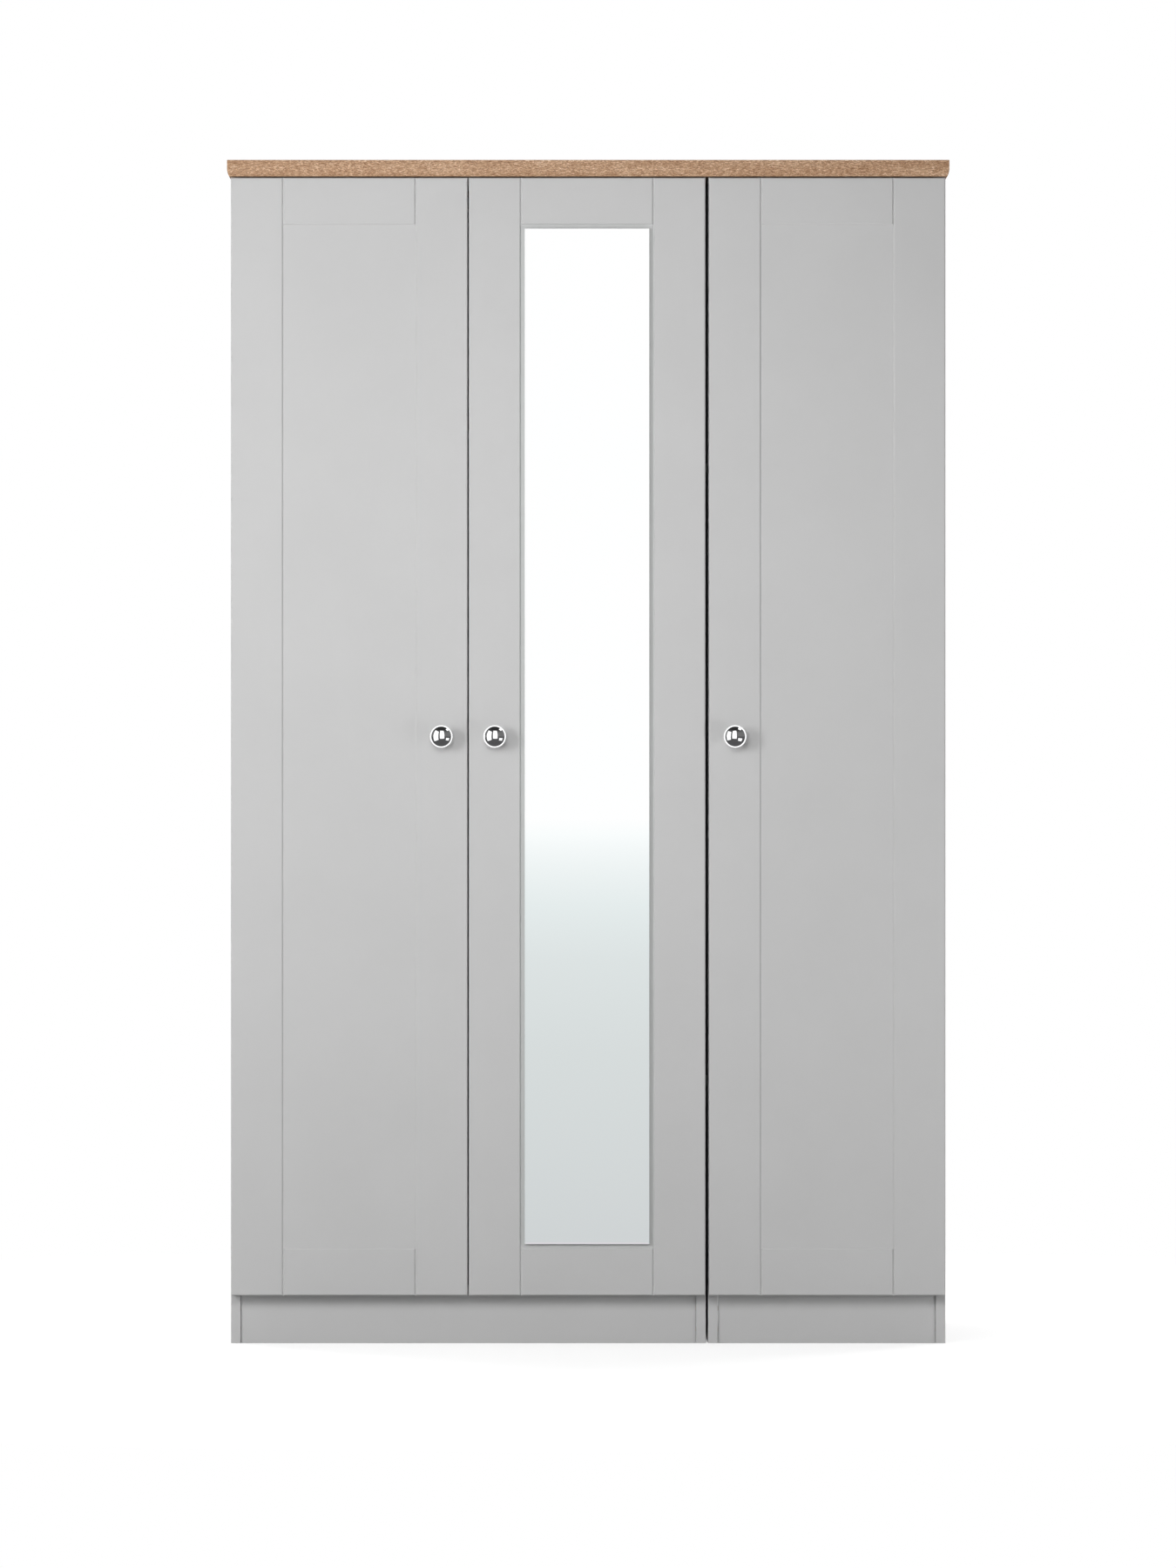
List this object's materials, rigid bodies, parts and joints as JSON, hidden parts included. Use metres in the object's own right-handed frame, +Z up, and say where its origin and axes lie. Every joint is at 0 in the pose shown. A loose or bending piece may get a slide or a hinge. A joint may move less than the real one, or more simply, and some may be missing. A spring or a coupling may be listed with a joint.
{
  "type": "wardrobe with doors",
  "caption": "Tall hinged-door wardrobe in matt grey with grooved door frames, a mirrored middle door, chrome knobs, an oak-effect top, hanging rails and hat shelves inside.",
  "frame": {"origin": "on the floor, in the middle of the outline with the knobs counted in", "axes": "+X to the viewer's right, +Y to the back, +Z up; the doors face -Y"},
  "size_m": [1.11, 0.551, 1.82],
  "materials": {
    "door_grey": "matt light grey foil on MDF",
    "carcase_grey": "matt light grey melamine on chipboard",
    "oak_foil": "oak-effect foil with fine straight grain, satin",
    "back_board": "thin painted fibreboard",
    "beech": "plain beech dowel",
    "mirror_glass": "silvered glass with a narrow bevel",
    "chrome": "polished chrome plate",
    "zinc_steel": "bright zinc plated steel",
    "block_plastic": "moulded plastic",
    "buffer_clear": "soft clear buffer",
    "adhesive_foam": "double-sided foam tape"
  },
  "bodies": {
    "carcase": {"back_nails": "zinc_steel", "double_back": "back_board", "double_bottom": "carcase_grey", "double_front_stretcher": "carcase_grey", "double_hanging_rail": "chrome", "double_left_side": "carcase_grey", "double_plinth": "carcase_grey", "double_rear_stretcher": "carcase_grey", "double_right_side": "carcase_grey", "double_shelf": "carcase_grey", "dowels": "beech", "hinge_arm_screws": "zinc_steel", "hinge_arms": "zinc_steel", "hinge_plate_screws": "zinc_steel", "hinge_plates": "zinc_steel", "plinth_block_screws": "zinc_steel", "plinth_blocks": "block_plastic", "rail_socket_screws": "zinc_steel", "rail_sockets": "zinc_steel", "single_back": "back_board", "single_bottom": "carcase_grey", "single_front_stretcher": "carcase_grey", "single_hanging_rail": "chrome", "single_left_side": "carcase_grey", "single_plinth": "carcase_grey", "single_rear_stretcher": "carcase_grey", "single_right_side": "carcase_grey", "single_shelf": "carcase_grey", "top": "oak_foil", "top_screws": "zinc_steel", "unit_bolts": "zinc_steel", "unit_nuts": "zinc_steel", "unit_spacers": "block_plastic", "wall_bracket_screws": "zinc_steel", "wall_brackets": "zinc_steel"},
    "left_door": {"left_buffers": "buffer_clear", "left_cup_screws": "zinc_steel", "left_door": "door_grey", "left_hinge_cups": "zinc_steel", "left_hinge_pins": "zinc_steel", "left_knob": "chrome", "left_knob_screw": "zinc_steel"},
    "mirror_door": {"mirror_buffers": "buffer_clear", "mirror_cup_screws": "zinc_steel", "mirror_door": "door_grey", "mirror_hinge_cups": "zinc_steel", "mirror_hinge_pins": "zinc_steel", "mirror_knob": "chrome", "mirror_knob_screw": "zinc_steel", "mirror_plate": "mirror_glass", "mirror_tape": "adhesive_foam"},
    "right_door": {"right_buffers": "buffer_clear", "right_cup_screws": "zinc_steel", "right_door": "door_grey", "right_hinge_cups": "zinc_steel", "right_hinge_pins": "zinc_steel", "right_knob": "chrome", "right_knob_screw": "zinc_steel"}
  },
  "joints": [
    {"name": "left_door_hinge", "type": "hinge", "parent": "carcase", "child": "left_door", "pos_m": [-0.5415, -0.2395, 0.934], "axis": [0, 0, -1], "range_deg": [0, 95]},
    {"name": "mirror_door_hinge", "type": "hinge", "parent": "carcase", "child": "mirror_door", "pos_m": [0.1725, -0.2395, 0.934], "axis": [0, 0, 1], "range_deg": [0, 95]},
    {"name": "right_door_hinge", "type": "hinge", "parent": "carcase", "child": "right_door", "pos_m": [0.5415, -0.2395, 0.934], "axis": [0, 0, 1], "range_deg": [0, 95]}
  ]
}
